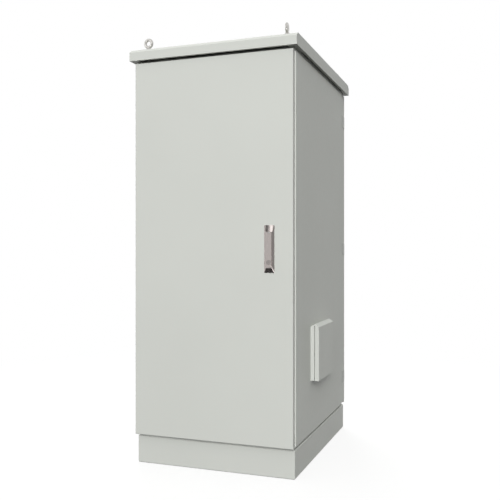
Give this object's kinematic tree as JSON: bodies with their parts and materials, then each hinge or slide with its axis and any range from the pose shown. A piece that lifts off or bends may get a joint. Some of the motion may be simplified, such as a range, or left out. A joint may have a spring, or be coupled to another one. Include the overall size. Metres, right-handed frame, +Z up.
{
  "type": "outdoor rack cabinet",
  "caption": "Tall light grey outdoor equipment cabinet on a plinth, with hinged doors, swing handles, an intake hood on one side and a vented overhanging roof with lifting eyes.",
  "frame": {"origin": "middle of the plinth's footprint, on the floor", "axes": "+Z up, the front door faces -Y, the intake hood is on the +X side"},
  "size_m": [0.652, 0.831, 1.5618],
  "materials": {
    "door_paint": "light grey powder coat",
    "panel_paint": "light grey powder coat",
    "roof_paint": "light grey powder coat",
    "hood_paint": "light grey powder coat",
    "plinth_paint": "light grey powder coat",
    "frame_paint": "light grey powder coat",
    "hinge_paint": "grey powder coat on steel hinges",
    "zinc_steel": "bright zinc plate",
    "galvanised_sheet": "galvanised sheet",
    "gasket_foam": "foamed seal",
    "grommet_rubber": "moulded rubber",
    "handle_chrome": "satin chrome",
    "lock_steel": "satin steel",
    "cast_zinc": "zinc die casting",
    "grille_plastic": "moulded",
    "filter_fleece": "filter fleece",
    "stud_brass": "turned brass"
  },
  "bodies": {
    "cabinet": {"base_plate": "galvanised_sheet", "bottom_frame": "frame_paint", "cable_grommets": "grommet_rubber", "earth_stud": "stud_brass", "filter_grille": "grille_plastic", "filter_mat": "filter_fleece", "front_hinge_frame_leaves": "hinge_paint", "front_hinge_pins": "zinc_steel", "gland_plate": "galvanised_sheet", "hood_base": "hood_paint", "hood_cover": "hood_paint", "lifting_eyes": "zinc_steel", "plinth_bolts": "zinc_steel", "plinth_front": "plinth_paint", "plinth_left": "plinth_paint", "plinth_rear": "plinth_paint", "plinth_right": "plinth_paint", "post_front_left": "frame_paint", "post_front_right": "frame_paint", "post_rear_left": "frame_paint", "post_rear_right": "frame_paint", "rack_rails_front": "galvanised_sheet", "rack_rails_rear": "galvanised_sheet", "rail_bolts": "zinc_steel", "rail_spacers": "zinc_steel", "rear_hinge_frame_leaves": "hinge_paint", "rear_hinge_pins": "zinc_steel", "roof": "roof_paint", "roof_spacers": "zinc_steel", "side_panel_left": "panel_paint", "side_panel_right": "panel_paint", "top_frame": "frame_paint", "top_plate": "galvanised_sheet"},
    "front_door_leaf": {"front_door": "door_paint", "front_door_stiffener": "door_paint", "front_door_gasket": "gasket_foam", "front_hinge_door_leaves": "hinge_paint", "front_handle_bezel": "handle_chrome", "front_gear_housing": "cast_zinc", "front_rod_guides": "zinc_steel"},
    "front_handle": {"front_spindle": "zinc_steel"},
    "front_grip": {"front_lever": "handle_chrome", "front_lock_barrel": "lock_steel"},
    "front_key_plug": {"front_lock_plug": "lock_steel"},
    "front_rod_up": {"front_upper_rod": "zinc_steel"},
    "front_rod_down": {"front_lower_rod": "zinc_steel"},
    "rear_door_leaf": {"rear_door": "door_paint", "rear_door_stiffener": "door_paint", "rear_door_gasket": "gasket_foam", "rear_hinge_door_leaves": "hinge_paint", "rear_handle_bezel": "handle_chrome", "rear_gear_housing": "cast_zinc", "rear_rod_guides": "zinc_steel"},
    "rear_handle": {"rear_spindle": "zinc_steel"},
    "rear_grip": {"rear_lever": "handle_chrome", "rear_lock_barrel": "lock_steel"},
    "rear_key_plug": {"rear_lock_plug": "lock_steel"},
    "rear_rod_up": {"rear_upper_rod": "zinc_steel"},
    "rear_rod_down": {"rear_lower_rod": "zinc_steel"}
  },
  "joints": [
    {"name": "front_door_swing", "type": "hinge", "parent": "cabinet", "child": "front_door_leaf", "pos_m": [-0.3, -0.3805, 0.78453], "axis": [0, 0, -1], "range_deg": [0, 130]},
    {"name": "front_handle_turn", "type": "hinge", "parent": "front_door_leaf", "child": "front_handle", "pos_m": [0.2164, -0.402, 0.83398], "axis": [0, 1, 0], "range_deg": [0, 90]},
    {"name": "front_handle_lift", "type": "hinge", "parent": "front_handle", "child": "front_grip", "pos_m": [0.2164, -0.41015, 0.83998], "axis": [-1, 0, 0], "range_deg": [0, 45]},
    {"name": "front_key_turn", "type": "hinge", "parent": "front_grip", "child": "front_key_plug", "pos_m": [0.2164, -0.41, 0.73903], "axis": [0, 1, 0], "range_deg": [0, 90]},
    {"name": "front_upper_rod_slide", "type": "slide", "parent": "front_door_leaf", "child": "front_rod_up", "axis": [0, 0, -1], "range_m": [0, 0.019]},
    {"name": "front_lower_rod_slide", "type": "slide", "parent": "front_door_leaf", "child": "front_rod_down", "axis": [0, 0, 1], "range_m": [0, 0.019]},
    {"name": "rear_door_swing", "type": "hinge", "parent": "cabinet", "child": "rear_door_leaf", "pos_m": [0.3, 0.3805, 0.78453], "axis": [0, 0, -1], "range_deg": [0, 130]},
    {"name": "rear_handle_turn", "type": "hinge", "parent": "rear_door_leaf", "child": "rear_handle", "pos_m": [-0.2164, 0.402, 0.83398], "axis": [0, -1, 0], "range_deg": [0, 90]},
    {"name": "rear_handle_lift", "type": "hinge", "parent": "rear_handle", "child": "rear_grip", "pos_m": [-0.2164, 0.41015, 0.83998], "axis": [1, 0, 0], "range_deg": [0, 45]},
    {"name": "rear_key_turn", "type": "hinge", "parent": "rear_grip", "child": "rear_key_plug", "pos_m": [-0.2164, 0.41, 0.73903], "axis": [0, -1, 0], "range_deg": [0, 90]},
    {"name": "rear_upper_rod_slide", "type": "slide", "parent": "rear_door_leaf", "child": "rear_rod_up", "axis": [0, 0, -1], "range_m": [0, 0.019]},
    {"name": "rear_lower_rod_slide", "type": "slide", "parent": "rear_door_leaf", "child": "rear_rod_down", "axis": [0, 0, 1], "range_m": [0, 0.019]}
  ],
  "couplings": [
    {"joint": "front_upper_rod_slide", "follows": "front_handle_turn", "m_per_rad": 0.012},
    {"joint": "front_lower_rod_slide", "follows": "front_handle_turn", "m_per_rad": 0.012},
    {"joint": "rear_upper_rod_slide", "follows": "rear_handle_turn", "m_per_rad": 0.012},
    {"joint": "rear_lower_rod_slide", "follows": "rear_handle_turn", "m_per_rad": 0.012}
  ]
}
